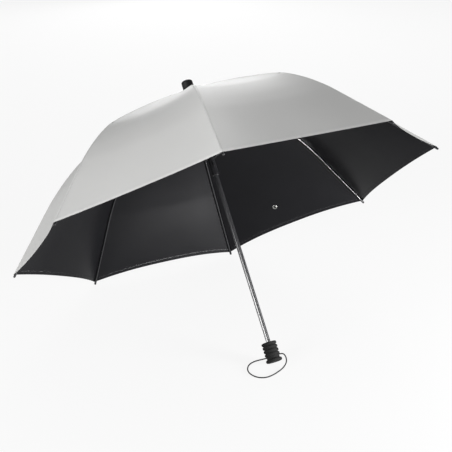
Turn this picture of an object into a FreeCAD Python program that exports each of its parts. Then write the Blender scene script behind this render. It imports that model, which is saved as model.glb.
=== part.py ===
# Hand-held sun umbrella, open, lying on the edge of its grip and on two rib tips.
# Each piece is drawn in a frame of its own and placed from the sizes in the sheet.
# The shaft's frame has Z along the shaft, from the end of the grip, and X towards the floor side.
import FreeCAD, Part
import math
import os
import Sketcher
from FreeCAD import Matrix, Placement, Rotation, Vector

SIZES = [
    ("total_length", 635, "end of the grip to the top of the cap"),
    ("shaft_radius", 4.75, "outside of the fluted tube"),
    ("shaft_wall", 1.1, "wall of the tube"),
    ("flute_count", 12, "flutes round the tube"),
    ("flute_radius", 0.7, "radius of a flute"),
    ("flute_depth", 0.35, "depth of a flute"),
    ("fit_gap", 0.05, "running clearance of pins and the runner"),
    ("seat_gap", 0.3, "clearance between seated pieces"),
    ("rib_count", 8, "ribs, stretchers and gores"),
    ("pivot_radius", 9.5, "shaft axis to the ring wires"),
    ("cap_reach", 26, "crown's ring wire to the top of the cap"),
    ("arm_length", 242, "crown wire to stretcher pin, and the stretcher"),
    ("open_angle", 71.7, "shaft to inner rib, open"),
    ("closed_angle", 5, "shaft to inner rib, closed"),
    ("flex_angle", 15.9, "bend that the rib loses when it closes"),
    ("rod_radius", 1.75, "rib rods"),
    ("inner_bow", 4.5, "rise of the inner rib over its chord"),
    ("rod_rise", 4.8, "stretcher pin to the axis of the rib"),
    ("flex_offset", 8, "stretcher pin to flex pin, along the arm"),
    ("outer_slope", 29.5, "fall of the outer rib at its root"),
    ("outer_turn", 18, "turn of the outer rib's arc"),
    ("outer_arc", 150, "length of the outer rib's arc"),
    ("outer_straight", 153.4, "straight end of the outer rib"),
    ("eye_radius", 2.2, "flattened eyes of ribs and stretchers"),
    ("eye_thick", 2, "thickness of the flattened eyes"),
    ("eye_neck", 5.6, "eye to the start of the round rod"),
    ("neck_half", 1.4, "half the height of an eye's neck"),
    ("rod_lap", 1, "length of rod inside its neck or cap"),
    ("slot_width", 2.6, "slots for the eyes"),
    ("wire_radius", 0.75, "ring wires"),
    ("wire_room", 1.5, "axis of a ring wire to the outside of its groove"),
    ("pin_radius", 1, "pins of the bracket"),
    ("bracket_width", 5.6, "moulded bracket on the rib"),
    ("bracket_back", 15, "bracket behind the stretcher pin"),
    ("bracket_front", 11, "bracket past the stretcher pin"),
    ("bracket_cover", 2.1, "bracket over the axis of the rib"),
    ("bracket_wall", 1.3, "bracket under the rod"),
    ("boss_radius", 2.6, "bracket below the stretcher pin"),
    ("boss_flat", 3, "half the flat under the stretcher pin"),
    ("boss_foot", 5, "half the foot of that boss"),
    ("slot_reach", 6, "half the slot for the stretcher's eye"),
    ("stretcher_radius", 1.5, "stretcher rods"),
    ("tip_radius", 2.4, "moulded rib tips"),
    ("tip_length", 12, "length of a tip"),
    ("tip_lip", 0.2, "bevel at the mouth of a tip"),
    ("tip_room", 0.8, "end of the rod to the floor of its tip"),
    ("hub_radius", 12.5, "crown and runner flanges"),
    ("hub_core", 7.1, "slot floor of crown and runner"),
    ("hub_below", 4, "hub below its wire"),
    ("crown_collar", 6, "collar below the crown"),
    ("crown_above", 1.6, "crown above its wire"),
    ("flange_above", 3.2, "runner flange above its wire"),
    ("sleeve_length", 42, "runner below its flange"),
    ("sleeve_radius", 7.1, "outside of the runner's sleeve"),
    ("button_width", 3, "release button"),
    ("button_height", 9, "release button"),
    ("button_travel", 1.2, "press of the release button"),
    ("button_proud", 1.6, "release button outside the sleeve"),
    ("button_drop", 18, "runner wire to the middle of the button"),
    ("stop_height", 6, "stop ring over the runner"),
    ("stop_radius", 6.8, "outside of the stop ring"),
    ("stop_taper", 0.8, "taper of the stop ring"),
    ("cap_radius", 12.2, "top cap"),
    ("cap_flange", 13.8, "flange at the foot of the cap"),
    ("cap_flange_height", 2.6, "height of that flange"),
    ("cap_round", 5, "rounding of the cap's top edge"),
    ("edge_left", 0.1, "flat left beside a rounding"),
    ("grip_length", 42, "foam grip"),
    ("grip_core", 13.6, "grooves of the grip"),
    ("grip_ridge", 15.8, "ridges of the grip"),
    ("ridge_count", 4, "ridges above the foot of the grip"),
    ("ridge_pitch", 7.6, "ridge to ridge"),
    ("ridge_height", 5.8, "height of a ridge"),
    ("foot_radius", 17.2, "ridge at the end of the grip"),
    ("foot_height", 7, "height of that ridge"),
    ("cord_exit_height", 11, "grip end to the cord's hole"),
    ("cord_exit_turn", 64.4, "direction of the cord's hole round the shaft"),
    ("cord_radius", 1.3, "wrist cord"),
    ("plug_length", 8, "end of the grip to the inner end of the plug"),
    ("plug_head_radius", 8, "head of the plug"),
    ("plug_head", 2.4, "height of the plug's head"),
    ("fabric_thick", 0.5, "canopy"),
    ("fabric_offset", 3.7, "axis of the rib to the fabric"),
    ("gore_sag", 11, "hollow of a gore between its ribs, at the hem"),
    ("hem_rise", 21, "scallop of the hem between two tips"),
    ("corner_inset", 4, "end of the rib to the corner of the fabric"),
    ("share_gap", 0.3, "split between the shares of the canopy"),
    ("strap_width", 18, "closure strap"),
    ("strap_length", 95, "closure strap"),
    ("strap_thick", 0.8, "closure strap"),
    ("stud_radius", 6, "press stud"),
    ("stud_hole", 2.4, "hollow of the press stud"),
    ("stud_height", 1.3, "press stud on either side of the canopy"),
    ("stud_inset", 16, "middle of the gore to the press stud"),
    ("stud_rise", 80.5, "corner of the fabric to the press stud, along the rib"),
]

doc = FreeCAD.newDocument("sun_umbrella")
sheet = doc.addObject("Spreadsheet::Sheet", "Sizes")
for row, (alias, value, note) in enumerate(SIZES, start=1):
    sheet.set(f"A{row}", str(value))
    sheet.setAlias(f"A{row}", alias)
    sheet.set(f"B{row}", note)
doc.recompute()


def size(alias):
    return float(sheet.get(alias))


def cells(expression):
    # Put the sheet's name before each alias of an expression
    words = []
    for word in expression.split():
        plain = word.strip("()")
        words.append(word.replace(plain, "Sizes." + plain) if plain in aliases else word)
    return " ".join(words)


aliases = {alias for alias, value, note in SIZES}
pieces = []


# Sketches and features


def new_body(label):
    body = doc.addObject("PartDesign::Body", label)
    body.Label = label
    pieces.append(body)
    return body


def new_sketch(body, plane):
    sketch = body.newObject("Sketcher::SketchObject", body.Name + "_sketch")
    role = [p for p in body.Origin.OriginFeatures if p.Role == plane][0]
    sketch.AttachmentSupport = [(role, "")]
    sketch.MapMode = "FlatFace"
    return sketch


def pin_point(sketch, geometry, point, x, y):
    for kind, expression in (("DistanceX", x), ("DistanceY", y)):
        value = float(sketch.evalExpression(cells(expression)))
        index = sketch.addConstraint(Sketcher.Constraint(kind, -1, 1, geometry, point, value))
        sketch.setExpression(f"Constraints[{index}]", cells(expression))


def spot(sketch, x, y):
    return Vector(*(float(sketch.evalExpression(cells(e))) for e in (x, y)), 0)


def outline(sketch, corners):
    # A closed outline of straight sides, each corner tied to the sheet
    spots = [spot(sketch, x, y) for x, y in corners]
    for a, b in zip(spots, spots[1:] + spots[:1]):
        sketch.addGeometry(Part.LineSegment(a, b), False)
    for side in range(len(corners)):
        after = (side + 1) % len(corners)
        sketch.addConstraint(Sketcher.Constraint("Coincident", side, 2, after, 1))
    for side, (x, y) in enumerate(corners):
        pin_point(sketch, side, 1, x, y)
    return sketch


def ring_outline(sketch, x, y, radius):
    centre = spot(sketch, x, y)
    value = float(sketch.evalExpression(cells(radius)))
    index = sketch.addGeometry(Part.Circle(centre, Vector(0, 0, 1), value), False)
    pin_point(sketch, index, 3, x, y)
    number = sketch.addConstraint(Sketcher.Constraint("Radius", index, value))
    sketch.setExpression(f"Constraints[{number}]", cells(radius))
    return sketch


def feature(body, kind, sketch):
    made = body.newObject("PartDesign::" + kind, body.Name + "_" + kind.lower())
    made.Profile = sketch
    sketch.Visibility = False
    return made


def turned(body, corners, kind="Revolution"):
    sketch = outline(new_sketch(body, "XZ_Plane"), corners)
    made = feature(body, kind, sketch)
    made.ReferenceAxis = (sketch, ["V_Axis"])
    made.Angle = 360
    return made


def padded(body, sketch, length, midplane=True):
    made = feature(body, "Pad", sketch)
    made.SideType = "Symmetric" if midplane else "One side"
    made.setExpression("Length", cells(length))
    return made


def pocketed(body, sketch, length=None):
    made = feature(body, "Pocket", sketch)
    made.SideType = "Symmetric"
    if length:
        made.setExpression("Length", cells(length))
    else:
        made.Type = "ThroughAll"
    return made


def round_the_axis(body, original, count):
    made = body.newObject("PartDesign::PolarPattern", body.Name + "_polar")
    made.Originals = [original]
    axis = [a for a in body.Origin.OriginFeatures if a.Role == "Z_Axis"][0]
    made.Axis = (axis, [""])
    made.Angle = 360
    made.setExpression("Occurrences", cells(count))
    body.Tip = made
    return made


def rounded(body, base, radius, chosen):
    # Round the edges of a feature that the test picks
    doc.recompute()
    names = [f"Edge{n}" for n, e in enumerate(base.Shape.Edges, start=1) if chosen(e)]
    made = body.newObject("PartDesign::Fillet", body.Name + "_fillet")
    made.Base = (base, names)
    made.setExpression("Radius", cells(radius))
    return made


def level_at(height):
    def chosen(edge):
        box = edge.BoundBox
        return max(box.ZLength, abs(box.ZMin - height)) < size("fit_gap")
    return chosen


def level_out(reach):
    def chosen(edge):
        box = edge.BoundBox
        return max(box.ZLength, abs(box.XMax - reach)) < size("fit_gap")
    return chosen


# Places of the pieces, worked out from the sizes

arm = size("arm_length")
crown_height = size("total_length") - size("cap_reach")
pivot = Vector(size("pivot_radius"), 0, crown_height)


def about_y(degrees):
    return Rotation(Vector(0, 1, 0), degrees)


def rib_azimuth(number):
    step = 360 / size("rib_count")
    return (number - 0.5) * step


def round_shaft(number):
    return Placement(Vector(0, 0, 0), Rotation(Vector(0, 0, 1), rib_azimuth(number)))


# In the arm's frame X runs from the crown wire to the stretcher pin and Z points at the fabric
arm_place = Placement(pivot, about_y(90 - size("open_angle")))
stretcher_pin = arm_place.multVec(Vector(arm, 0, 0))
flex_local = Vector(arm + size("flex_offset"), 0, size("rod_rise"))
flex_pin = arm_place.multVec(flex_local)
runner_wire_height = crown_height - 2 * arm * math.cos(math.radians(size("open_angle")))
outer_place = Placement(flex_pin, about_y(size("outer_slope")))
stretcher_place = Placement(stretcher_pin, about_y(180 - (90 - size("open_angle"))))


def outer_point(along, offset=0):
    # A point of the outer rib's axis, and how far it lies off it, in the rib's own frame
    radius = size("outer_arc") / math.radians(size("outer_turn"))
    bent = min(along, size("outer_arc"))
    turn = bent / radius
    x = radius * math.sin(turn) + (along - bent) * math.cos(turn) + offset * math.sin(turn)
    z = -radius * (1 - math.cos(turn)) - (along - bent) * math.sin(turn) + offset * math.cos(turn)
    return Vector(x, 0, z), turn


def inner_radius():
    chord = arm
    return chord * chord / (8 * size("inner_bow")) + size("inner_bow") / 2


def inner_point(along, offset=0):
    # The inner rib's arc runs from the crown wire to a point over the stretcher pin
    rise = size("rod_rise") * along / arm
    radius = inner_radius()
    from_middle = along - arm / 2
    bow = math.sqrt(radius ** 2 - from_middle ** 2) - (radius - size("inner_bow"))
    lean = math.atan2(size("rod_rise"), arm) - math.asin(from_middle / radius)
    point = Vector(along - offset * math.sin(lean), 0, rise + bow + offset * math.cos(lean))
    return point, -lean


rod_end = size("outer_arc") + size("outer_straight") - size("tip_radius")
tip_centre = outer_place.multVec(outer_point(rod_end)[0])

# The grip's foot and two tips touch the floor: a line that touches two circles, seen from the side
half_step = math.radians(180 / size("rib_count"))
foot_round = size("foot_height") / 2 - size("edge_left")
touch_x = tip_centre.x * math.cos(half_step) - (size("foot_radius") - foot_round)
touch_z = tip_centre.z - foot_round
lean_of_line = math.atan2(touch_z, touch_x)
lean_of_line += math.asin((foot_round - size("tip_radius")) / math.hypot(touch_x, touch_z))
tilt = Rotation(Vector(1, 0, 0), -math.degrees(lean_of_line)).multiply(Rotation(Vector(0, 0, 1), 90))
foot_centre = tilt.multVec(Vector(size("foot_radius") - foot_round, 0, foot_round))
near_tip = tilt.multVec(round_shaft(1).multVec(tip_centre))
far_tip = tilt.multVec(round_shaft(size("rib_count") / 2).multVec(tip_centre))
middle_y = (near_tip.y + far_tip.y) / 2
whole = Placement(Vector(0, -middle_y, foot_round - foot_centre.z), tilt)
print("shaft lean", round(math.degrees(lean_of_line), 2), "origin shift", round(middle_y, 2))


def put(piece, place=Placement(), number=None):
    turn = round_shaft(number) if number else Placement()
    piece.Placement = whole.multiply(turn).multiply(place)
    return piece


def at_height(z):
    return Placement(Vector(0, 0, z), Rotation())


# Shaft, crown and cap


def make_shaft():
    body = new_body("shaft")
    sketch = new_sketch(body, "XY_Plane")
    ring_outline(sketch, "0", "0", "shaft_radius")
    ring_outline(sketch, "0", "0", "shaft_radius - shaft_wall")
    tube = padded(body, sketch, "total_length - plug_head - cap_round", midplane=False)
    flute = new_sketch(body, "XY_Plane")
    ring_outline(flute, "shaft_radius + flute_radius - flute_depth", "0", "flute_radius")
    groove = pocketed(body, flute)
    round_the_axis(body, groove, "flute_count")
    put(body, at_height(size("plug_head")))


def hub_slots(body, low, high):
    # Slots for the eyes, open outwards and through both faces
    sketch = new_sketch(body, "XZ_Plane")
    sketch.AttachmentOffset = Placement(Vector(0, 0, 0), Rotation(Vector(0, 1, 0), 1))
    sketch.setExpression("AttachmentOffset.Rotation.Angle", cells("180 / rib_count"))
    outline(sketch, [
        ("hub_core", low), ("hub_radius + seat_gap", low),
        ("hub_radius + seat_gap", high), ("hub_core", high)])
    slot = pocketed(body, sketch, "slot_width")
    return round_the_axis(body, slot, "rib_count")


def make_crown():
    body = new_body("crown")
    turned(body, [
        ("shaft_radius + fit_gap", "0 - hub_below - crown_collar"),
        ("hub_core", "0 - hub_below - crown_collar"),
        ("hub_core", "0 - hub_below"), ("hub_radius", "0 - hub_below"),
        ("hub_radius", "crown_above"), ("shaft_radius + fit_gap", "crown_above")])
    turned(body, [
        ("pivot_radius - wire_radius - fit_gap", "0 - wire_radius - fit_gap"),
        ("pivot_radius + wire_room", "0 - wire_radius - fit_gap"),
        ("pivot_radius + wire_room", "crown_above + seat_gap"),
        ("pivot_radius - wire_radius - fit_gap", "crown_above + seat_gap")], "Groove")
    hub_slots(body, "0 - hub_below - seat_gap", "crown_above + seat_gap")
    put(body, at_height(crown_height))


def ring_wire():
    # A wire bent to one straight run for each rib, with round corners
    count = int(size("rib_count"))
    corner = size("pivot_radius") / math.cos(half_step)
    turns = [2 * half_step * n for n in range(count)]
    corners = [Vector(corner * math.cos(a), corner * math.sin(a), 0) for a in turns]
    bend = 3 * size("wire_radius")
    cut = bend * math.tan(half_step)
    edges = []
    for here, after, last in zip(corners, corners[1:] + corners[:1], corners[-1:] + corners[:-1]):
        start = here + (last - here).normalize() * cut
        end = here + (after - here).normalize() * cut
        reach = bend / math.cos(half_step) - bend
        top = here - Vector(here).normalize() * reach
        edges.append(Part.Arc(start, top, end).toShape())
        edges.append(Part.LineSegment(end, after + (here - after).normalize() * cut).toShape())
    path = Part.Wire(edges)
    first = path.Edges[0]
    circle = Part.Circle(first.valueAt(first.FirstParameter),
                         first.tangentAt(first.FirstParameter), size("wire_radius"))
    return path.makePipeShell([Part.Wire([circle.toShape()])], True, True)


def make_ring(label, height, shape):
    ring = doc.addObject("Part::Feature", label)
    ring.Label = label
    ring.Shape = shape
    pieces.append(ring)
    put(ring, at_height(height))


def runner_ring():
    # The runner's wire shows only in its flange, because the stretchers leave it half way
    wide = size("slot_width") + 2 * size("fit_gap")
    pieces_left = ring_wire()
    for number in range(1, int(size("rib_count")) + 1):
        deep = 4 * size("wire_radius")
        slot = Part.makeBox(size("hub_radius"), wide, deep, Vector(0, -wide / 2, -deep / 2))
        slot.rotate(Vector(0, 0, 0), Vector(0, 0, 1), rib_azimuth(number))
        pieces_left = pieces_left.cut(slot)
    return pieces_left


def make_cap():
    body = new_body("ferrule_cap")
    foot = "fabric_offset + fabric_thick + seat_gap"
    solid = turned(body, [
        ("shaft_radius + fit_gap", foot), ("cap_flange", foot),
        ("cap_flange", foot + " + cap_flange_height"), ("cap_radius", foot + " + cap_flange_height"),
        ("cap_radius", "cap_reach"), ("0", "cap_reach"), ("0", "cap_reach - cap_round + fit_gap"),
        ("shaft_radius + fit_gap", "cap_reach - cap_round + fit_gap")])
    rounded(body, solid, "cap_round - edge_left", level_at(size("cap_reach")))
    put(body, at_height(crown_height))


# Runner, its button and its stop

half_turn = Placement(Vector(0, 0, 0), Rotation(Vector(0, 0, 1), 180))


def make_runner():
    body = new_body("runner")
    turned(body, [
        ("shaft_radius + fit_gap", "0 - sleeve_length"), ("sleeve_radius", "0 - sleeve_length"),
        ("sleeve_radius", "0 - hub_below"), ("hub_radius", "0 - hub_below"),
        ("hub_radius", "flange_above"), ("shaft_radius + fit_gap", "flange_above")])
    turned(body, [
        ("pivot_radius - wire_radius - fit_gap", "0 - wire_radius - fit_gap"),
        ("pivot_radius + wire_room", "0 - wire_radius - fit_gap"),
        ("pivot_radius + wire_room", "flange_above + seat_gap"),
        ("pivot_radius - wire_radius - fit_gap", "flange_above + seat_gap")], "Groove")
    hub_slots(body, "0 - hub_below - seat_gap", "flange_above + seat_gap")
    window = outline(new_sketch(body, "XZ_Plane"), [
        ("shaft_radius", "0 - button_drop - button_height / 2 - seat_gap"),
        ("sleeve_radius + seat_gap", "0 - button_drop - button_height / 2 - seat_gap"),
        ("sleeve_radius + seat_gap", "0 - button_drop + button_height / 2 + seat_gap"),
        ("shaft_radius", "0 - button_drop + button_height / 2 + seat_gap")])
    pocketed(body, window, "button_width + 2 * seat_gap")
    put(body, at_height(runner_wire_height))
    body.Placement = body.Placement.multiply(half_turn)


def make_button():
    body = new_body("release_button")
    sketch = outline(new_sketch(body, "XZ_Plane"), [
        ("shaft_radius + button_travel + seat_gap", "0 - button_height / 2"),
        ("sleeve_radius + button_proud", "0 - button_height / 2 + button_travel"),
        ("sleeve_radius + button_proud", "button_height / 2 - button_travel"),
        ("shaft_radius + button_travel + seat_gap", "button_height / 2")])
    padded(body, sketch, "button_width")
    put(body, at_height(runner_wire_height - size("button_drop")))
    body.Placement = body.Placement.multiply(half_turn)


def make_stop():
    body = new_body("runner_stop")
    turned(body, [
        ("shaft_radius + fit_gap", "0"), ("stop_radius", "0"),
        ("stop_radius - stop_taper", "stop_height"), ("shaft_radius + fit_gap", "stop_height")])
    put(body, at_height(runner_wire_height + size("flange_above") + size("seat_gap")))


# Grip, plug and cord


def make_grip():
    body = new_body("grip")
    turned(body, [
        ("shaft_radius + fit_gap", "plug_head + seat_gap"),
        ("plug_head_radius + seat_gap", "plug_head + seat_gap"),
        ("plug_head_radius + seat_gap", "0"), ("foot_radius", "0"), ("foot_radius", "foot_height"),
        ("grip_core", "foot_height"), ("grip_core", "grip_length"),
        ("shaft_radius + fit_gap", "grip_length")])
    low = "grip_length - ridge_height"
    ridge = turned(body, [
        ("grip_core - rod_lap", low), ("grip_ridge", low),
        ("grip_ridge", "grip_length"), ("grip_core - rod_lap", "grip_length")])
    pattern = body.newObject("PartDesign::LinearPattern", "grip_ridges")
    pattern.Originals = [ridge]
    axis = [a for a in body.Origin.OriginFeatures if a.Role == "Z_Axis"][0]
    pattern.Direction = (axis, [""])
    pattern.Reversed = True
    pattern.setExpression("Length", cells("ridge_pitch * ( ridge_count - 1 )"))
    pattern.setExpression("Occurrences", cells("ridge_count"))
    body.Tip = pattern

    ridges = rounded(body, pattern, "grip_ridge - grip_core - edge_left", level_out(size("grip_ridge")))
    rounded(body, ridges, "foot_height / 2 - edge_left", level_out(size("foot_radius")))
    hole = new_sketch(body, "XZ_Plane")
    ring_outline(hole, "0", "cord_exit_height", "cord_radius + fit_gap")
    pocketed(body, hole)
    put(body, Placement(Vector(0, 0, 0), Rotation(Vector(0, 0, 1), size("cord_exit_turn") - 90)))


def make_plug():
    body = new_body("grip_plug")
    turned(body, [
        ("0", "seat_gap"), ("plug_head_radius", "seat_gap"), ("plug_head_radius", "plug_head"),
        ("shaft_radius - shaft_wall - fit_gap", "plug_head"),
        ("shaft_radius - shaft_wall - fit_gap", "plug_length"), ("0", "plug_length")])
    put(body)


make_shaft()
make_crown()
make_ring("crown_wire", crown_height, ring_wire())
make_cap()
make_runner()
make_ring("runner_wire", runner_wire_height, runner_ring())
make_button()
make_stop()
make_grip()
make_plug()


# Ribs and stretchers


def eye(body, x, z, hole, toward, side):
    # A flattened eye with its neck, which reaches along X towards the rod
    disc = ring_outline(new_sketch(body, "XZ_Plane"), x, z, "eye_radius")
    padded(body, disc, "eye_thick")
    neck = outline(new_sketch(body, "XZ_Plane"), [
        (x, f"{z} - neck_half"), (toward, f"{z} - neck_half"),
        (toward, f"{z} + neck_half"), (x, f"{z} + neck_half")][::side])
    padded(body, neck, "eye_thick")
    bore = ring_outline(new_sketch(body, "XZ_Plane"), x, z, f"{hole} + fit_gap")
    pocketed(body, bore)


def bent_rod(body, centre, radius, start, end, straight=None):
    # A round rod along an arc, and along its tangent where a straight end is given
    path = new_sketch(body, "XZ_Plane")
    middle = spot(path, *centre)
    reach = float(path.evalExpression(cells(radius)))
    ends = [float(path.evalExpression(cells(e))) for e in (start, end)]
    angles = [math.acos((e - middle.x) / reach) for e in ends]
    circle = Part.Circle(middle, Vector(0, 0, 1), reach)
    path.addGeometry(Part.ArcOfCircle(circle, angles[1], angles[0]), False)
    pin_point(path, 0, 3, *centre)
    number = path.addConstraint(Sketcher.Constraint("Radius", 0, reach))
    path.setExpression(f"Constraints[{number}]", cells(radius))
    for point, expression in ((2, start), (1, end)):
        value = float(path.evalExpression(cells(expression)))
        number = path.addConstraint(Sketcher.Constraint("DistanceX", -1, 1, 0, point, value))
        path.setExpression(f"Constraints[{number}]", cells(expression))
    if straight:
        after = spot(path, *straight)
        arc_end = path.getPoint(0, 1)
        path.addGeometry(Part.LineSegment(arc_end, after), False)
        path.addConstraint(Sketcher.Constraint("Coincident", 0, 1, 1, 1))
        pin_point(path, 1, 2, *straight)
    doc.recompute()
    profile = body.newObject("Sketcher::SketchObject", body.Name + "_section")
    profile.AttachmentSupport = [(path, "Edge1")]
    profile.MapMode = "NormalToEdge"
    profile.MapPathParameter = 1
    ring_outline(profile, "0", "0", "rod_radius")
    rod = feature(body, "AdditivePipe", profile)
    rod.Spine = path
    path.Visibility = False


def make_inner_rib(number):
    body = new_body(f"rib_inner_{number}")
    chord = "sqrt( arm_length ^ 2 + rod_rise ^ 2 )"
    radius = "( ( arm_length ^ 2 + rod_rise ^ 2 ) / ( 8 * inner_bow ) + inner_bow / 2 )"
    centre = (f"arm_length / 2 + ( {radius} - inner_bow ) * rod_rise / {chord}",
              f"rod_rise / 2 - ( {radius} - inner_bow ) * arm_length / {chord}")
    eye(body, "0", "0", "wire_radius", "eye_neck + rod_lap", 1)
    bent_rod(body, centre, radius, "eye_neck", "arm_length - boss_flat - rod_lap")
    under = "rod_rise - rod_radius - bracket_wall"
    block = outline(new_sketch(body, "XZ_Plane"), [
        ("arm_length - bracket_back", under), ("arm_length - boss_foot", under),
        ("arm_length - boss_flat", "0 - boss_radius"), ("arm_length + boss_flat", "0 - boss_radius"),
        ("arm_length + boss_foot", under), ("arm_length + bracket_front", under),
        ("arm_length + bracket_front", "rod_rise + bracket_cover"),
        ("arm_length - bracket_back", "rod_rise + bracket_cover")])
    padded(body, block, "bracket_width")
    slot = outline(new_sketch(body, "XZ_Plane"), [
        ("arm_length - slot_reach", "0 - boss_radius - seat_gap"),
        ("arm_length + slot_reach", "0 - boss_radius - seat_gap"),
        ("arm_length + slot_reach", "eye_radius + seat_gap"),
        ("arm_length - slot_reach", "eye_radius + seat_gap")])
    pocketed(body, slot, "slot_width")
    back = "arm_length + flex_offset - eye_radius - seat_gap"
    fork = outline(new_sketch(body, "XZ_Plane"), [
        (back, "0 - boss_radius - seat_gap"),
        ("arm_length + bracket_front + seat_gap", "0 - boss_radius - seat_gap"),
        ("arm_length + bracket_front + seat_gap", "rod_rise + bracket_cover + seat_gap"),
        (back, "rod_rise + bracket_cover + seat_gap")])
    pocketed(body, fork, "slot_width")
    for x, z in (("arm_length", "0"), ("arm_length + flex_offset", "rod_rise")):
        pin = ring_outline(new_sketch(body, "XZ_Plane"), x, z, "pin_radius")
        padded(body, pin, "bracket_width")
    put(body, arm_place, number)


def make_outer_rib(number):
    body = new_body(f"rib_outer_{number}")
    radius = "( outer_arc * 180 / ( pi * outer_turn ) )"
    length = "( outer_straight - tip_radius - rod_lap )"
    turned_x = f"{radius} * sin( outer_turn )"
    turned_z = f"0 - {radius} * ( 1 - cos( outer_turn ) )"
    eye(body, "0", "0", "pin_radius", "eye_neck", 1)
    bent_rod(body, ("0", f"0 - {radius}"), radius, "eye_neck - rod_lap", turned_x,
             (f"{turned_x} + {length} * cos( outer_turn )",
              f"{turned_z} - {length} * sin( outer_turn )"))
    put(body, outer_place, number)


def make_tip(number):
    body = new_body(f"rib_tip_{number}")
    cap = turned(body, [
        ("rod_radius + fit_gap", "tip_radius - tip_length"),
        ("tip_radius - tip_lip", "tip_radius - tip_length"),
        ("tip_radius", "tip_radius - tip_length + rod_lap"), ("tip_radius", "tip_radius"),
        ("0", "tip_radius"), ("0", "0 - tip_room"), ("rod_radius + fit_gap", "0 - tip_room")])
    rounded(body, cap, "tip_radius - edge_left", level_at(size("tip_radius")))
    spot_in_rib, turn = outer_point(rod_end)
    along = Placement(spot_in_rib, about_y(90 + math.degrees(turn)))
    put(body, outer_place.multiply(along), number)


def make_stretcher(number):
    body = new_body(f"stretcher_{number}")
    eye(body, "0", "0", "pin_radius", "eye_neck + rod_lap / 2", 1)
    eye(body, "arm_length", "0", "wire_radius", "arm_length - eye_neck - rod_lap / 2", -1)
    rod = new_sketch(body, "YZ_Plane")
    rod.setExpression("AttachmentOffset.Base.z", cells("eye_neck"))
    ring_outline(rod, "0", "0", "stretcher_radius")
    padded(body, rod, "arm_length - 2 * eye_neck", midplane=False)
    put(body, stretcher_place, number)


# Canopy, in shares that each follow one rib


def fabric_ridge(along, offset):
    # Where the fabric crosses a rib, measured from the crown wire along the rib
    past = along - flex_local.x
    if past < 0:
        point, turn = inner_point(along, offset)
        return arm_place.multVec(point)
    point, turn = outer_point(past, offset)
    return outer_place.multVec(point)


def fabric_upright(along):
    # Square to the rib, and half way between both ribs where they meet
    beside = size("rod_lap")
    sides = [fabric_ridge(a, beside) - fabric_ridge(a, 0) for a in (along - beside, along + beside)]
    return (sides[0] + sides[1]).normalize()


whole_ridge = flex_local.x + size("outer_arc") + size("outer_straight")
corner_along = whole_ridge - size("corner_inset")


def fabric_valley(along, offset):
    # The middle of a gore, level with the rib and drawn in by the sag
    ridge = fabric_ridge(along, offset)
    after = fabric_ridge(along + size("rod_lap"), offset)
    share = max(0, min(1, along / corner_along))
    sag = size("gore_sag") * math.sin(math.pi * share / 2)
    slope = Vector(after.x - ridge.x, 0, after.z - ridge.z).normalize()
    flat = ridge.x * math.cos(half_step)
    return Vector(flat + sag * slope.z, 0, ridge.z - sag * slope.x)


def station(along):
    # A section square to the rib: the ridge and the two valleys, outside and inside
    inner = size("fabric_offset")
    outer = inner + size("fabric_thick")
    ridge = fabric_ridge(along, inner)
    upright = fabric_upright(along)
    top = ridge + upright * size("fabric_thick")
    heading = Vector(upright.z, 0, -upright.x)
    corners = [top, ridge]
    for offset in (inner, outer):
        low, high = along - size("outer_arc") / 2, along + size("outer_arc")
        for halving in range(40):
            guess = (low + high) / 2
            valley = fabric_valley(guess, offset)
            across = Vector(valley.x * math.cos(half_step), 0, valley.z)
            if (across - ridge).dot(heading) < 0:
                low = guess
            else:
                high = guess
        valley = fabric_valley(guess, offset)
        x = valley.x * math.cos(half_step)
        y = valley.x * math.sin(half_step) - size("share_gap") / 2
        corners.append(Vector(x, y, valley.z))
    top, ridge, valley, crest = corners
    left = [Vector(v.x, -v.y, v.z) for v in (crest, valley)]
    return Part.makePolygon([top, crest, valley, ridge, left[1], left[0], top])


def hem_cutter(side):
    # The round hem between two tips, as the cylinder that takes the fabric below it
    corner = fabric_ridge(corner_along, size("fabric_offset"))
    chord = 2 * corner.x * math.sin(half_step)
    radius = chord ** 2 / (8 * size("hem_rise")) + size("hem_rise") / 2
    middle = Vector(corner.x * math.cos(half_step), 0, corner.z)
    higher = fabric_ridge(corner_along - size("tip_length"), size("fabric_offset"))
    upward = Vector((higher.x - corner.x) * math.cos(half_step), 0, higher.z - corner.z).normalize()
    centre = middle + upward * (size("hem_rise") - radius)
    normal = Vector(-upward.z, 0, upward.x)
    depth = size("outer_arc")
    cutter = Part.makeCylinder(radius, depth, centre - normal * depth / 2, normal)
    cutter.rotate(Vector(0, 0, 0), Vector(0, 0, 1), side * math.degrees(half_step))
    return cutter


def share_shape(stations):
    return Part.makeLoft([station(a) for a in stations], True, True)


split = flex_local.x
inner_stations = [size("fabric_thick") + split * n / 5 for n in range(5)] + [split - size("share_gap")]
past_hem = whole_ridge + size("tip_length")
outer_stations = [split + (past_hem - split) * n / 7 for n in range(8)]
outer_stations[0] += size("share_gap")
inner_share = share_shape(inner_stations)
outer_share = share_shape(outer_stations).cut(hem_cutter(1)).cut(hem_cutter(-1))


def make_share(label, shape, number):
    share = doc.addObject("Part::Feature", f"{label}_{number}")
    share.Label = f"{label}_{number}"
    share.Shape = shape
    pieces.append(share)
    put(share, Placement(), number)


for rib in range(1, int(size("rib_count")) + 1):
    make_inner_rib(rib)
    make_outer_rib(rib)
    make_tip(rib)
    make_stretcher(rib)
    make_share("canopy_inner", inner_share, rib)
    make_share("canopy_outer", outer_share, rib)


# Closure strap, with its press stud through the canopy


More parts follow.
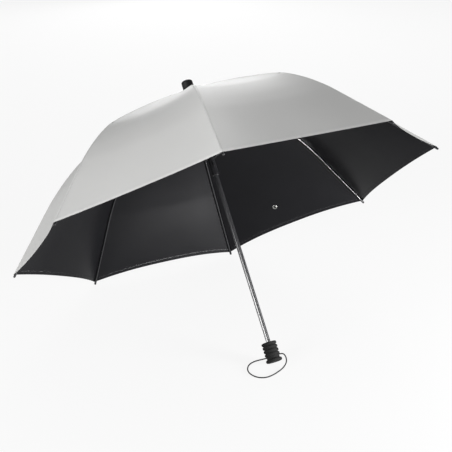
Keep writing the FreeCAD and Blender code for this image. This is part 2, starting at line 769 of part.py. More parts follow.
def make_strap(number):
    # It lies on the outside of a gore, across it, from the stud towards a rib
    outside = size("fabric_offset") + size("fabric_thick")
    at_stud = corner_along - size("stud_rise")
    ridge = fabric_ridge(at_stud, outside)
    section = station(at_stud).Vertexes
    valley = section[5].Point
    across = (ridge - valley).normalize()
    higher = fabric_ridge(at_stud - size("strap_width") / 2, outside) - ridge
    normal = across.cross(higher).normalize()
    if normal.z < 0:
        normal = -normal
    down = normal.cross(across).normalize()
    stud = valley + across * size("stud_inset")
    turn = Matrix(across.x, down.x, normal.x, stud.x, across.y, down.y, normal.y, stud.y,
                  across.z, down.z, normal.z, stud.z, 0, 0, 0, 1)
    lift = 2 * size("seat_gap")
    end = size("strap_width") / 2
    band = Part.makeBox(size("strap_length") - end, size("strap_width"), size("strap_thick"),
                        Vector(0, -end, lift))
    band = band.fuse(Part.makeCylinder(end, size("strap_thick"), Vector(0, 0, lift))).removeSplitter()
    cap_foot = lift + size("strap_thick")
    tall = size("stud_height")
    cap = Part.makeCylinder(size("stud_radius"), tall, Vector(0, 0, cap_foot))
    inside = -size("fabric_thick") - lift
    foot = Vector(0, 0, inside - tall)
    ring = Part.makeCylinder(size("stud_radius"), tall, foot)
    ring = ring.cut(Part.makeCylinder(size("stud_hole"), tall, foot))
    strap = doc.addObject("Part::Feature", "closure_strap")
    strap.Label = "closure_strap"
    strap.Shape = Part.makeCompound([band, cap, ring])
    pieces.append(strap)
    put(strap, Placement(turn), number)


make_strap(int(size("rib_count")))


# Wrist cord, from one side of the grip to the other, lying on the floor

CORD = [
    (13.9, 2.2, 23.6), (18.2, 0.5, 24.6), (21.6, -3.8, 22.4), (22.6, -9.0, 17.0),
    (21.0, -13.0, 10.2), (15.6, -16.0, 4.6), (6.0, -21.0, 1.5), (-8.4, -28.4, 1.4),
    (-24.0, -34.8, 1.4), (-40.6, -37.4, 1.4), (-54.2, -29.8, 1.4), (-60.8, -15.4, 1.4),
    (-61.4, 0.8, 1.4), (-54.6, 17.0, 1.4), (-42.6, 29.2, 1.5), (-30.0, 31.8, 2.8),
    (-22.6, 26.0, 6.6), (-19.6, 18.6, 11.0), (-13.6, 12.0, 14.6),
]


def cord_shape(points):
    corners = [Vector(x, y + whole.Base.y, z) for x, y, z in points]
    radii = []
    edges = []
    here = corners[0]
    for last, corner, after in zip(corners, corners[1:], corners[2:]):
        back = (last - corner)
        ahead = (after - corner)
        cut = 0.45 * min(back.Length, ahead.Length)
        back.normalize()
        ahead.normalize()
        half_turn = (math.pi - back.getAngle(ahead)) / 2
        radius = cut / math.tan(half_turn)
        radii.append(radius)
        start = corner + back * cut
        end = corner + ahead * cut
        inward = (back + ahead).normalize()
        reach = radius / math.cos(half_turn) - radius
        edges.append(Part.LineSegment(here, start).toShape())
        edges.append(Part.Arc(start, corner + inward * reach, end).toShape())
        here = end
    edges.append(Part.LineSegment(here, corners[-1]).toShape())
    path = Part.Wire(edges)
    first = edges[0]
    circle = Part.Circle(first.valueAt(0), first.tangentAt(0), size("cord_radius"))
    tube = path.makePipeShell([Part.Wire([circle.toShape()])], True, True)
    ideal = path.Length * math.pi * size("cord_radius") ** 2
    print("cord length", round(path.Length, 1), "volume over section by length",
          round(tube.Volume / ideal, 4), "radii", [round(r, 1) for r in radii])
    return tube


def make_cord():
    cord = doc.addObject("Part::Feature", "wrist_cord")
    cord.Label = "wrist_cord"
    cord.Shape = cord_shape(CORD)
    pieces.append(cord)


make_cord()


# Check and write every piece

doc.recompute()
for item in doc.Objects:
    if "Invalid" in item.State or "Error" in item.State:
        raise RuntimeError(f"{item.Name} failed: {item.State}")
for piece in pieces:
    if piece.Shape.isNull() or not piece.Shape.isValid():
        raise RuntimeError(f"{piece.Label} has no valid shape")
os.makedirs("parts", exist_ok=True)
for piece in pieces:
    piece.Shape.exportStep(f"parts/{piece.Label}.step")
print(len(pieces), "pieces written")
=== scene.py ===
# A sun umbrella, open, lying on the end of its grip and on two rib tips
import math
from bisect import bisect_right

import bmesh
import bpy
from mathutils import Matrix, Vector


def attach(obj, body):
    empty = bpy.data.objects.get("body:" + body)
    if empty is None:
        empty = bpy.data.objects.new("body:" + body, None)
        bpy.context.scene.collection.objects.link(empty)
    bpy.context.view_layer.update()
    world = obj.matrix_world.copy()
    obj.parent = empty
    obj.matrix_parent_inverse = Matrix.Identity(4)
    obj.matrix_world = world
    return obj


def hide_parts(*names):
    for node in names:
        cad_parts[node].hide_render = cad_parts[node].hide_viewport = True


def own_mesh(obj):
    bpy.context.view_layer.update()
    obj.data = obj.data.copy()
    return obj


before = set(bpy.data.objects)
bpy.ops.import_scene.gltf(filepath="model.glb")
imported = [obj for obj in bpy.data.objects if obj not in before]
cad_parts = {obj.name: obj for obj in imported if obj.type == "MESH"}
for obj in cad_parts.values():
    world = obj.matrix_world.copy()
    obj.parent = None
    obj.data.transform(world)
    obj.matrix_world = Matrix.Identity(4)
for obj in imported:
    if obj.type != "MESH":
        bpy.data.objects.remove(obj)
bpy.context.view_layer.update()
scene = bpy.context.scene
print("frame loaded")


# The photograph's camera
view = {
    "place": (-1.16343, -2.29742, 1.32003),
    "heading": (0.41528, 0.82306, -0.38744),
    "up": (0.18794, 0.33908, 0.92179),
    "lens": 104.90,
    "sensor": 36,
    "farthest": 60,
}


def placeCamera():
    cameraData = bpy.data.cameras.new("camera")
    cameraData.lens = view["lens"]
    cameraData.sensor_width = view["sensor"]
    cameraData.clip_end = view["farthest"]
    camera = bpy.data.objects.new("camera", cameraData)
    scene.collection.objects.link(camera)
    heading = Vector(view["heading"]).normalized()
    right = heading.cross(Vector(view["up"])).normalized()
    up = right.cross(heading)
    turn = Matrix((right, up, -heading)).transposed().to_4x4()
    camera.matrix_world = Matrix.Translation(view["place"]) @ turn
    scene.camera = camera


placeCamera()


# How the umbrella lies: its own frame has the shaft along Z, from the end of the grip
umbrella = {
    "lean": 38.178,  # degrees from upright
    "foot": (0, -0.204431, 0.009257),
    "ribs": 8,
}
leanAngle = math.radians(umbrella["lean"])
stepAngle = 2 * math.pi / umbrella["ribs"]
leaning = Matrix.Rotation(-leanAngle, 4, "X") @ Matrix.Rotation(math.pi / 2, 4, "Z")
whole = Matrix.Translation(umbrella["foot"]) @ leaning


def ribPlace(number):
    return whole @ Matrix.Rotation((number - 0.5) * stepAngle, 4, "Z")


def newPiece(name, shape, *materials):
    mesh = bpy.data.meshes.new(name)
    shape.to_mesh(mesh)
    shape.free()
    for material in materials:
        mesh.materials.append(material)
    piece = bpy.data.objects.new(name, mesh)
    scene.collection.objects.link(piece)
    return piece


def giveThickness(piece, thick, offset, inside=0):
    shell = piece.modifiers.new("thickness", "SOLIDIFY")
    shell.thickness = thick
    shell.offset = offset
    shell.material_offset = inside
    shell.material_offset_rim = inside


def turnOutward(shape, place):
    # Faces of a sheet over a rib look away from the shaft
    outward = place.to_3x3() @ Vector((0.6, 0, 0.8))
    if next(iter(shape.faces)).normal.dot(outward) < 0:
        bmesh.ops.reverse_faces(shape, faces=shape.faces)


class Link:
    # A socket that adds its own Math nodes, so that shader sums read as sums
    def __init__(self, nodes, socket):
        self.nodes = nodes
        self.socket = socket

    def maths(self, operation, *values):
        return self.nodes.add("ShaderNodeMath", {"operation": operation}, dict(enumerate(values)))

    def __add__(self, other):
        return self.maths("ADD", self, other)

    __radd__ = __add__

    def __mul__(self, other):
        return self.maths("MULTIPLY", self, other)

    __rmul__ = __mul__

    def __sub__(self, other):
        return self.maths("SUBTRACT", self, other)

    def __rsub__(self, other):
        return self.maths("SUBTRACT", other, self)

    def __lt__(self, other):
        return self.maths("LESS_THAN", self, other)

    def __gt__(self, other):
        return self.maths("GREATER_THAN", self, other)

    def __abs__(self):
        return self.maths("ABSOLUTE", self)

    def larger(self, other):
        return self.maths("MAXIMUM", self, other)

    def sine(self):
        return self.maths("SINE", self)

    def wrapped(self, size):
        return self.maths("FLOORED_MODULO", self, size)

    def fade(self, near, far):
        # 1 below near, 0 above far, smooth between
        return self.nodes.add(
            "ShaderNodeMapRange", {"interpolation_type": "SMOOTHSTEP"},
            {"Value": self, "From Min": near, "From Max": far, "To Min": 1.0, "To Max": 0.0},
        )


class Nodes:
    # A node tree, with the one way to add a node to it
    def __init__(self, tree):
        self.tree = tree

    def add(self, kind, settings=None, values=None, out=0):
        node = self.tree.nodes.new(kind)
        for name, setting in (settings or {}).items():
            setattr(node, name, setting)
        for name, value in (values or {}).items():
            self.join(value, node.inputs[name])
        if isinstance(out, tuple):
            return [Link(self, node.outputs[name]) for name in out]
        return Link(self, node.outputs[out])

    def join(self, value, socket):
        if isinstance(value, Link):
            self.tree.links.new(value.socket, socket)
        else:
            socket.default_value = value


class Finish(Nodes):
    # A material: what is fixed is set on its shader, and what changes over the surface is fed to it
    def __init__(self, name, **fixed):
        self.material = bpy.data.materials.new(name)
        self.material.use_nodes = True
        super().__init__(self.material.node_tree)
        self.shader = self.tree.nodes["Principled BSDF"]
        self.feed(**fixed)

    def feed(self, **sockets):
        for name, value in sockets.items():
            self.join(value, self.shader.inputs[name.replace("_", " ")])
        return self.material

    def place(self):
        return self.add("ShaderNodeTexCoord", out="Object")

    def measured(self, layer):
        # The two lengths that a UV map holds
        uv = self.add("ShaderNodeUVMap", {"uv_map": layer})
        return self.add("ShaderNodeSeparateXYZ", None, {0: uv}, out=(0, 1))

    def flatNoise(self, x, y, detail=3.0):
        return self.noise(self.add("ShaderNodeCombineXYZ", None, {"X": x, "Y": y}), 1.0, detail)

    def noise(self, where, scale, detail=3.0, roughness=0.5):
        values = {"Vector": where, "Scale": scale, "Detail": detail, "Roughness": roughness}
        return self.add("ShaderNodeTexNoise", None, values)

    def mix(self, factor, first, second):
        # Socket 0 is the factor of a Mix node, and 6, 7 and output 2 are its colours
        return self.add("ShaderNodeMix", {"data_type": "RGBA"}, {0: factor, 6: first, 7: second}, out=2)

    def bump(self, height, distance, strength, **under):
        values = {"Height": height, "Distance": distance, "Strength": strength, **under}
        return self.add("ShaderNodeBump", None, values)


def grey(level):
    return (level, level, level, 1)


# The canopy's cloth, in metres on the cloth; a pair is where a mark starts to fade and where it ends
clothForm = {
    "seamEdge": (0.0028, 0.0035),
    "seamRow": 0.0024,
    "hemEdge": (0.0082, 0.0089),
    "hemRow": 0.0072,
    "thread": (0.00015, 0.0004),
    "stitch": 0.0026,
    "dash": 0.68,  # share of a stitch with thread on top
    "crease": (0.0001, 0.0016),
    "seamPuckers": (520.0, (0.002, 0.016)),  # waves along the seam, then how far out they reach
    "hemPuckers": (430.0, (0.004, 0.020)),
    "puckerWander": (30.0, 14.0),
    "folds": (9.0, 3.0),
    "weave": 0.00032,
    "heights": {"seam": 0.35, "hem": 0.3, "thread": 0.18, "pucker": 0.10, "folds": 0.8, "crease": 0.02},
    "relief": (0.001, 0.8),  # distance and strength of the bump
    "weaveRelief": (0.00003, 0.35),
}
silverLook = {
    "light": (0.50, 0.50, 0.493, 1),
    "dark": (0.455, 0.455, 0.449, 1),
    # the hem colour is lighter than the cloth: a painted highlight along the canopy's edge
    "hem": (0.58, 0.58, 0.572, 1),
    "thread": grey(0.30),
    "shows": {"hem": 0.6, "thread": 0.6},
    "cloud": (6.0, 4.0, 0.6),
    "roughness": (0.40, 0.12, 0.2),  # least, more in the clouds, more on the thread
    "fixed": {"Metallic": 0.12, "Specular_IOR_Level": 0.3},
    "facing": 1,
}
liningLook = {
    "dark": (0.0022, 0.0022, 0.0028, 1),
    "light": (0.0036, 0.0036, 0.0046, 1),
    "thread": (0.010, 0.010, 0.012, 1),
    "seam": grey(0.004),
    "crease": grey(0.003),
    "shows": {"thread": 0.6, "seam": 0.35, "crease": 0.4},
    "cloud": (7.0, 4.0, 0.6),
    "roughness": (0.28, 0.08, 0.0),
    "fixed": {"Specular_IOR_Level": 0.32},
    "facing": -1,
}


def clothMarks(finish, facing):
    # Seam over the rib, hem at the edge, their stitches, the crease at mid-gore, and the relief of all
    across, along = finish.measured("cloth")
    toHem, toMiddle = finish.measured("edge")
    fromRib = abs(across)
    seam = fromRib.fade(*clothForm["seamEdge"])
    hem = toHem.fade(*clothForm["hemEdge"])
    crease = toMiddle.fade(*clothForm["crease"])

    stitch = clothForm["stitch"]
    dash = stitch * clothForm["dash"]
    seamRow = abs(fromRib - clothForm["seamRow"]).fade(*clothForm["thread"])
    hemRow = abs(toHem - clothForm["hemRow"]).fade(*clothForm["thread"])
    seamThread = seamRow * (along.wrapped(stitch) < dash)
    hemThread = hemRow * (across.wrapped(stitch) < dash)
    thread = seamThread.larger(hemThread)

    size, shift = clothForm["puckerWander"]
    wander = finish.flatNoise(across * size, along * size) * shift
    seamWaves, seamReach = clothForm["seamPuckers"]
    hemWaves, hemReach = clothForm["hemPuckers"]
    seamPucker = (along * seamWaves + wander).sine() * fromRib.fade(*seamReach)
    hemPucker = (across * hemWaves + wander).sine() * toHem.fade(*hemReach)
    overFolds, alongFolds = clothForm["folds"]
    folds = finish.flatNoise(across * overFolds, along * alongFolds, 2.0)

    heights = clothForm["heights"]
    height = seam * (heights["seam"] * facing) + hem * heights["hem"] + thread * heights["thread"]
    height = height + (seamPucker + hemPucker) * heights["pucker"] + folds * heights["folds"]
    if facing < 0:
        height = height - crease * heights["crease"]
    relief = finish.bump(height, *clothForm["relief"])
    turns = 2 * math.pi / clothForm["weave"]
    weave = (across * turns).sine() * (along * turns).sine()
    marks = {"seam": seam, "hem": hem, "thread": thread, "crease": crease}
    return marks, finish.bump(weave, *clothForm["weaveRelief"], Normal=relief)


def clothFinish(name, look):
    finish = Finish(name, **look["fixed"])
    marks, normal = clothMarks(finish, look["facing"])
    cloud = finish.noise(finish.place(), *look["cloud"])
    colour = finish.mix(cloud, look["dark"], look["light"])
    for mark, share in look["shows"].items():
        colour = finish.mix(marks[mark] * share, colour, look[mark])
    least, clouded, threaded = look["roughness"]
    roughness = least + cloud * clouded + marks["thread"] * threaded
    return finish.feed(Base_Color=colour, Roughness=roughness, Normal=normal)


# The canopy's shape, in two shares over each rib that meet where the rib bends
canopy = {
    # along the rib from the crown, then how far out and how high the inside of the cloth is there
    "ridge": [
        (0.000, 0.01033, 0.61261), (0.060, 0.06885, 0.59805), (0.120, 0.12668, 0.58139),
        (0.180, 0.18381, 0.56262), (0.232, 0.23277, 0.54465), (0.268, 0.26580, 0.52905),
        (0.320, 0.30882, 0.49917), (0.370, 0.34689, 0.46620), (0.400, 0.36800, 0.44457),
        (0.450, 0.40178, 0.40770), (0.500, 0.43556, 0.37084), (0.543, 0.46461, 0.33913),
        (0.560, 0.47609, 0.32660),
    ],
    # how far each gore's hem rises between its rib tips, and how far its cloth hangs in, gores 1 to 8
    "rise": (0.0125, 0.0080, 0.0174, 0.0192, 0.0080, 0.0148, 0.0207, 0.0213),
    "hang": (0.0154, 0.0080, 0.0138, 0.0124, 0.0056, 0.0163, 0.0106, 0.0137),
    "bellyPower": 2.5,
    "corner": 0.5480,  # where the hem crosses the rib
    "thick": 0.00035,
    "columns": 64,
    "crowding": 0.85,
    "slopeStep": 0.001,
    "anchor": (0.2, 0, 0.5),  # a point in the rib's plane
    "inner": {"from": 0.0005, "to": 0.250, "rows": 60, "flat": (0.192, 0.252), "folded": 0.12},
    "outer": {"from": 0.250, "to": None, "rows": 72, "flat": (0.358, 0.296), "folded": 0.07},
}


def smoothed(points, at):
    # A cubic through points of (along, out, up)
    spots = [point[0] for point in points]
    last = len(points) - 1
    n = max(0, min(last - 1, bisect_right(spots, at) - 1))
    before, near, far, after = (points[max(0, min(last, i))] for i in (n - 1, n, n + 1, n + 2))
    span = far[0] - near[0]
    t = (at - near[0]) / span
    found = []
    for axis in (1, 2):
        slopeNear = (far[axis] - before[axis]) / (far[0] - before[0]) * span
        slopeFar = (after[axis] - near[axis]) / (after[0] - near[0]) * span
        found.append(
            (2 * t**3 - 3 * t**2 + 1) * near[axis] + (t**3 - 2 * t**2 + t) * slopeNear
            + (3 * t**2 - 2 * t**3) * far[axis] + (t**3 - t**2) * slopeFar
        )
    return found


def reached(what, side, number):
    # How much of its gore's rise or hang the cloth has that far from the rib
    gore = number if side > 0 else (number - 2) % umbrella["ribs"] + 1
    return canopy[what][gore - 1] * (1 - (1 - abs(side)) ** canopy["bellyPower"])


def clothPoint(along, side, number):
    # side runs from -1 in the middle of one gore, over the rib at 0, to 1 in the middle of the next
    out, up = smoothed(canopy["ridge"], along)
    further, lower = smoothed(canopy["ridge"], along + canopy["slopeStep"])
    slope = Vector((further - out, lower - up)).normalized()
    half = abs(side) / 2
    turn = stepAngle if side > 0 else -stepAngle
    x = out * (1 - half) + out * math.cos(turn) * half
    y = out * math.sin(turn) * half
    sag = reached("hang", side, number) * math.sin(math.pi / 2 * min(1, along / canopy["corner"]))
    inward = sag * slope.y
    return Vector((x + inward * math.cos(turn / 2), y + inward * math.sin(turn / 2), up - sag * slope.x))


def halfWidth(along):
    return smoothed(canopy["ridge"], along)[0] * math.sin(stepAngle / 2)


def graded(t):
    # Rows are closer together at both ends, so the shading runs on into the next share
    return t - canopy["crowding"] * math.sin(2 * math.pi * t) / (2 * math.pi)


def clothShare(number, share):
    shape = bmesh.new()
    bmesh.ops.create_grid(shape, x_segments=canopy["columns"], y_segments=share["rows"], size=0.5)
    cloth = shape.loops.layers.uv.new("cloth")
    edge = shape.loops.layers.uv.new("edge")
    place = ribPlace(number)
    spots = {}
    for vertex in shape.verts:
        over = 2 * vertex.co.x
        side = math.copysign(graded(abs(over)), over)
        hem = canopy["corner"] - reached("rise", side, number)
        last = share["to"] or hem
        along = share["from"] + (last - share["from"]) * graded(vertex.co.y + 0.5)
        width = halfWidth(along)
        spots[vertex] = (side * width, along), (hem - along, (1 - abs(side)) * width)
        vertex.co = place @ clothPoint(along, side, number)
    for face in shape.faces:
        face.smooth = True
        for loop in face.loops:
            loop[cloth].uv, loop[edge].uv = spots[loop.vert]
    for border in shape.edges:
        border.smooth = not border.is_boundary
    bmesh.ops.recalc_face_normals(shape, faces=shape.faces)
    turnOutward(shape, place)
    return shape


def makeCanopy():
    outside = clothFinish("silverCloth", silverLook)
    inside = clothFinish("liningCloth", liningLook)
    for number in range(1, umbrella["ribs"] + 1):
        for name, node, body, joint, rod, share in (
            (f"canopyTop{number}", f"canopy_inner_{number}", f"rib_{number}", f"rib_fold_{number}",
             f"rib_inner_{number}", canopy["inner"]),
            (f"canopySkirt{number}", f"canopy_outer_{number}", f"rib_end_{number}", f"rib_flex_{number}",
             f"rib_outer_{number}", canopy["outer"]),
        ):
            shape = clothShare(number, share)
            area = sum(face.calc_area() for face in shape.faces)
            piece = newPiece(name, shape, outside, inside)
            giveThickness(piece, canopy["thick"], -1, inside=1)
            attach(piece, body)
            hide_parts(node)
            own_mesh(piece)
    print("canopy made")


# The wrist cord, with a control point for each bend of its route
wristCord = {
    "exit": (0.0139, -0.2022, 0.0236),
    "route": [
        (0.0117, -0.2013, 0.0229), (0.0182, -0.2039, 0.0246), (0.0216, -0.2082, 0.0224),
        (0.0226, -0.2134, 0.0170), (0.0210, -0.2174, 0.0102), (0.0156, -0.2204, 0.0046),
        (0.0060, -0.2254, 0.0015), (-0.0084, -0.2328, 0.0014), (-0.0240, -0.2392, 0.0014),
        (-0.0406, -0.2418, 0.0014), (-0.0542, -0.2342, 0.0014), (-0.0608, -0.2198, 0.0014),
        (-0.0614, -0.2036, 0.0014), (-0.0546, -0.1874, 0.0014), (-0.0426, -0.1752, 0.0015),
        (-0.0300, -0.1726, 0.0028), (-0.0226, -0.1784, 0.0066), (-0.0196, -0.1858, 0.0110),
        (-0.0114, -0.1932, 0.0152),
    ],
    "radius": 0.0013,
    "length": 0.2162,
    "smoothness": 14,
    "roundness": 6,
    "dark": (0.004, 0.004, 0.005, 1),
    "light": (0.014, 0.014, 0.015, 1),
    "strands": 260.0,
    "fibres": 900.0,
    "relief": (0.0002, 0.7),
}


def braidedCord():
    finish = Finish("braidedCord", Roughness=0.7, Specular_IOR_Level=0.25)
    where = finish.place()
    fibre = finish.noise(where, wristCord["fibres"], 2.0)
    strand = finish.add(
        "ShaderNodeTexWave", {"wave_type": "BANDS", "bands_direction": "DIAGONAL"},
        {"Vector": where, "Scale": wristCord["strands"], "Distortion": 1.5, "Detail": 1.0}, out="Fac",
    )
    colour = finish.mix(strand * 0.7 + fibre * 0.3, wristCord["dark"], wristCord["light"])
    return finish.feed(Base_Color=colour, Normal=finish.bump(strand + fibre * 0.4, *wristCord["relief"]))


def makeCord():
    line = bpy.data.curves.new("wristCord", "CURVE")
    line.dimensions = "3D"
    spline = line.splines.new("NURBS")
    spline.points.add(len(wristCord["route"]) - 1)
    for point, place in zip(spline.points, wristCord["route"]):
        point.co = (*place, 1)
    spline.order_u = 3
    spline.use_endpoint_u = True
    line.resolution_u = wristCord["smoothness"]
    line.bevel_depth = wristCord["radius"]
    line.bevel_resolution = wristCord["roundness"]
    line.use_fill_caps = True
    piece = bpy.data.objects.new("wristCord", line)
    scene.collection.objects.link(piece)
    line.materials.append(braidedCord())
    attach(piece, "root")
    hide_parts("wrist_cord")
    print("wrist cord made")


makeCord()
makeCanopy()


# Finishes of the hard parts: a noise mixes the two colours, and adds its share to the least roughness
hardLooks = {
    "mouldedPlastic": {
        "dark": (0.004, 0.004, 0.005, 1), "light": (0.009, 0.009, 0.010, 1), "cloud": (60.0, 3.0),
        "roughness": (0.32, 0.16), "fixed": {"Specular_IOR_Level": 0.35},
        "grain": (1400.0, 2.0), "relief": (0.00006, 0.5),
    },
    "fibreglass": {
        "dark": (0.012, 0.012, 0.013, 1), "light": (0.020, 0.020, 0.022, 1), "cloud": (60.0, 2.0),
        "roughness": (0.27, 0.06), "fixed": {"Coat_Weight": 1.0, "Coat_Roughness": 0.1},
    },
    "closedFoam": {
        "dark": grey(0.003), "light": grey(0.007), "cloud": (90.0, 3.0),
        "roughness": (0.78, 0.14), "fixed": {"Specular_IOR_Level": 0.2},
        "cells": 1500.0, "relief": (0.0002, 0.6),
    },
    "springSteel": {
        "dark": (0.42, 0.42, 0.41, 1), "light": (0.58, 0.58, 0.57, 1), "cloud": (500.0, 3.0),
        "roughness": (0.22, 0.2), "fixed": {"Metallic": 1.0},
    },
    "studMetal": {
        "dark": (0.22, 0.22, 0.21, 1), "light": (0.32, 0.32, 0.31, 1), "cloud": (800.0, 3.0),
        "roughness": (0.2, 0.25), "fixed": {"Metallic": 1.0},
    },
}


def hardFinish(name):
    look = hardLooks[name]
    finish = Finish(name, **look["fixed"])
    where = finish.place()
    cloud = finish.noise(where, *look["cloud"])
    least, more = look["roughness"]
    finish.feed(Base_Color=finish.mix(cloud, look["dark"], look["light"]), Roughness=least + cloud * more)
    if "grain" in look:
        finish.feed(Normal=finish.bump(finish.noise(where, *look["grain"]), *look["relief"]))
    if "cells" in look:
        cells = finish.add("ShaderNodeTexVoronoi", {"feature": "F1"}, {"Vector": where, "Scale": look["cells"]})
        finish.feed(Normal=finish.bump(cells, *look["relief"]))
    return finish.material


hardFinishes = {name: hardFinish(name) for name in hardLooks}


# The closure strap, on the outside of the gore between ribs 7 and 8
strap = {
    "rib": 8,
    "at": 0.4689,  # along the rib
    "stud": 0.016,  # from the middle of the gore to the stud
    "long": 0.095,
    "wide": 0.018,
    "thick": 0.0009,
    "lift": 0.0008,
    "probe": (0.002, 0.01),  # steps down the cloth and across it that give its normal
    "dark": (0.010, 0.010, 0.011, 1),
    "light": (0.026, 0.026, 0.028, 1),
    "thread": (0.05, 0.05, 0.052, 1),
    "ribbing": 5200.0,  # turns of the weave's wave, in radians a metre
    "row": 0.0075,
    "stitch": (0.0026, 0.0018),  # from one to the next, and the thread of one
    "relief": (0.0002, 0.6),
    "columns": 40,
    "rows": 10,
}
# The press stud through the strap's end, in outlines of (radius, height)
stud = {
    "cap": [
        (0.0, 0.0021), (0.0018, 0.0020), (0.0036, 0.0016), (0.0050, 0.0009), (0.0058, 0.0002),
        (0.0060, 0.0), (0.0, 0.0),
    ],
    "ring": [
        (0.0024, 0.0), (0.0024, 0.0006), (0.0030, 0.0011), (0.0046, 0.0013), (0.0056, 0.0009),
        (0.0060, 0.0003), (0.0060, 0.0),
    ],
    "socket": [(0.0, 0.0003), (0.0018, 0.0003), (0.0024, 0.0), (0.0, 0.0)],
    "steps": 40,
}


def wovenTape():
    finish = Finish("wovenTape", Roughness=0.75)
    across, along = finish.measured("tape")
    ribs = (along * strap["ribbing"]).sine()
    stitch, dash = strap["stitch"]
    row = abs(abs(across) - strap["row"]).fade(*clothForm["thread"]) * (along.wrapped(stitch) < dash)
    colour = finish.mix(ribs * 0.5 + 0.5, strap["dark"], strap["light"])
    colour = finish.mix(row * 0.6, colour, strap["thread"])
    return finish.feed(Base_Color=colour, Normal=finish.bump(ribs * 0.6 + row, *strap["relief"]))


def strapSpot(distance, sideways):
    # distance from the stud towards the rib, sideways down the gore, on the outside of the cloth
    side = -(1 - (strap["stud"] + distance) / halfWidth(strap["at"]))
    along = strap["at"] + sideways
    down, over = strap["probe"]
    here = clothPoint(along, side, strap["rib"])
    lower = clothPoint(along + down, side, strap["rib"]) - here
    nearer = clothPoint(along, side + over, strap["rib"]) - here
    normal = lower.cross(nearer).normalized()
    return here, -normal if normal.z < 0 else normal


def makeStrap():
    shape = bmesh.new()
    bmesh.ops.create_grid(shape, x_segments=strap["columns"], y_segments=strap["rows"], size=0.5)
    tape = shape.loops.layers.uv.new("tape")
    place = ribPlace(strap["rib"])
    halfWide = strap["wide"] / 2
    spots = {}
    for vertex in shape.verts:
        u, v = vertex.co.x + 0.5, 2 * vertex.co.y
        roundEnd = -halfWide * math.sqrt(max(0, 1 - v * v))
        distance = roundEnd + (strap["long"] - halfWide - roundEnd) * u
        spots[vertex] = (v * halfWide, distance)
        here, normal = strapSpot(distance, v * halfWide)
        vertex.co = place @ (here + normal * strap["lift"])
    for face in shape.faces:
        face.smooth = True
        for loop in face.loops:
            loop[tape].uv = spots[loop.vert]
    shape.normal_update()
    turnOutward(shape, place)
    band = newPiece("closureStrap", shape, wovenTape())
    giveThickness(band, strap["thick"], 1)
    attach(band, "rib_end_8")
    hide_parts("closure_strap")
    print("strap made")


def makeStud():
    place = ribPlace(strap["rib"])
    here, normal = strapSpot(0, 0)
    up = (place.to_3x3() @ normal).normalized()
    spot = place @ here
    above = spot + up * (strap["lift"] + strap["thick"])
    below = spot - up * canopy["thick"]
    metal, plastic = hardFinishes["studMetal"], hardFinishes["mouldedPlastic"]
    for piece in (
        turnedPiece("studCap", stud["cap"], above, up, metal),
        turnedPiece("studRing", stud["ring"], below, -up, metal),
        turnedPiece("studSocket", stud["socket"], below, -up, plastic),
    ):
        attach(piece, "rib_end_8")
    print("stud made")


def turnedPiece(name, outline, place, upward, material):
    # An outline of (radius, height), spun about upward at place
    shape = bmesh.new()
    points = [shape.verts.new((radius, 0, height)) for radius, height in outline]
    edges = [shape.edges.new(pair) for pair in zip(points, points[1:])]
    if outline[0][0] > 0:
        edges.append(shape.edges.new((points[-1], points[0])))
    bmesh.ops.spin(shape, geom=points + edges, axis=(0, 0, 1), cent=(0, 0, 0), dvec=(0, 0, 0),
                   angle=2 * math.pi, steps=stud["steps"], use_merge=True)
    bmesh.ops.remove_doubles(shape, verts=shape.verts, dist=1e-6)
    bmesh.ops.recalc_face_normals(shape, faces=shape.faces)
    turn = upward.to_track_quat("Z", "Y").to_matrix().to_4x4()
    bmesh.ops.transform(shape, matrix=Matrix.Translation(place) @ turn, verts=shape.verts)
    for face in shape.faces:
        face.smooth = True
    return newPiece(name, shape, material)


# The finish of each node of the frame that isn't replaced, by the node's name without its number
nodeFinishes = {
    "mouldedPlastic": (
        "crown", "ferrule_cap", "runner", "release_button", "runner_stop", "grip_plug", "rib_tip",
    ),
    "fibreglass": ("shaft", "rib_inner", "rib_outer", "stretcher"),
    "closedFoam": ("grip",),
    "springSteel": ("crown_wire", "runner_wire"),
}


def finishNodes():
    kinds = {}
    for finish, names in nodeFinishes.items():
        kinds.update(dict.fromkeys(names, hardFinishes[finish]))
    for name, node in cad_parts.items():
        kind = kinds.get(name) or kinds.get(name.rsplit("_", 1)[0])
        if kind is None:
            continue
        node.data.materials.clear()
        node.data.materials.append(kind)
        for face in node.data.polygons:
            face.material_index = 0
    print("frame finished")


makeStrap()
makeStud()
finishNodes()


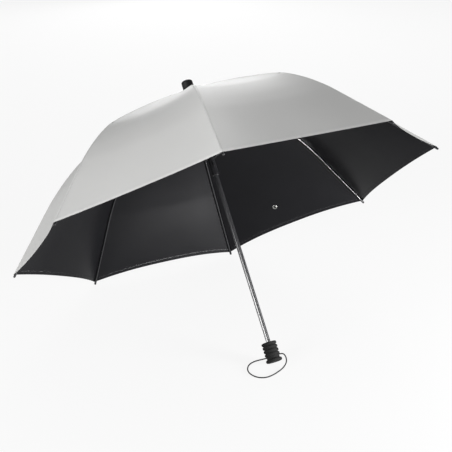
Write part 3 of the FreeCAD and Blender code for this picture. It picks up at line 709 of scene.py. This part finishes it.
# Floor and light
studio = {
    "floor": 12.0,
    "floorDrop": 0.0003,
    "floorPaint": 0.4,
    "floorGlow": 1.04,
    "glowShare": 0.85,
    "world": 0.25,
    "lamps": [
        # name, place, aimed at, size, watts
        ("back", (1.70, 2.13, 1.81), (0, 0.1, 0.4), 1.8, 26.0),
        ("rim", (1.16, 2.83, 0.85), (0, 0.1, 0.4), 1.6, 24.0),
        ("left", (-2.60, -1.10, 0.72), (0, 0.1, 0.4), 1.6, 128.0),
        ("low", (1.0, -1.3, 0.20), (0, 0.28, 0.3), 0.7, 105.0),
    ],
}


def makeFloor():
    # The camera sees a glowing floor with the umbrella's shadow, and the umbrella is lit by a grey one
    finish = Finish("floorPaint")
    camera, through = finish.add("ShaderNodeLightPath", out=("Is Camera Ray", "Is Transmission Ray"))
    plain = finish.add("ShaderNodeBsdfDiffuse", None, {"Color": grey(studio["floorPaint"])})
    glow = finish.add("ShaderNodeEmission", None, {"Color": grey(1.0), "Strength": studio["floorGlow"]})
    share = camera.larger(through) * studio["glowShare"]
    blend = finish.add("ShaderNodeMixShader", None, {0: share, 1: plain, 2: glow})
    finish.join(blend, finish.tree.nodes["Material Output"].inputs["Surface"])
    shape = bmesh.new()
    bmesh.ops.create_grid(shape, x_segments=1, y_segments=1, size=studio["floor"])
    floor = newPiece("floor", shape, finish.material)
    floor.location.z = -studio["floorDrop"]


def makeWorld():
    world = bpy.data.worlds.new("studio")
    scene.world = world
    world.use_nodes = True
    sky = Nodes(world.node_tree)
    seen = sky.add("ShaderNodeLightPath", out="Is Camera Ray")
    strength = sky.add("ShaderNodeMapRange", None, {"Value": seen, "To Min": studio["world"], "To Max": 1.0})
    background = world.node_tree.nodes["Background"]
    sky.join(grey(1.0), background.inputs["Color"])
    sky.join(strength, background.inputs["Strength"])


def makeLamps():
    for name, place, aim, size, watts in studio["lamps"]:
        lamp = bpy.data.lights.new(name, "AREA")
        lamp.shape = "DISK"
        lamp.size = size
        lamp.energy = watts
        holder = bpy.data.objects.new(name, lamp)
        holder.location = place
        holder.rotation_euler = (Vector(aim) - Vector(place)).to_track_quat("-Z", "Y").to_euler()
        scene.collection.objects.link(holder)


makeFloor()
makeWorld()
makeLamps()
scene.view_settings.view_transform = "Standard"
print("studio lit")
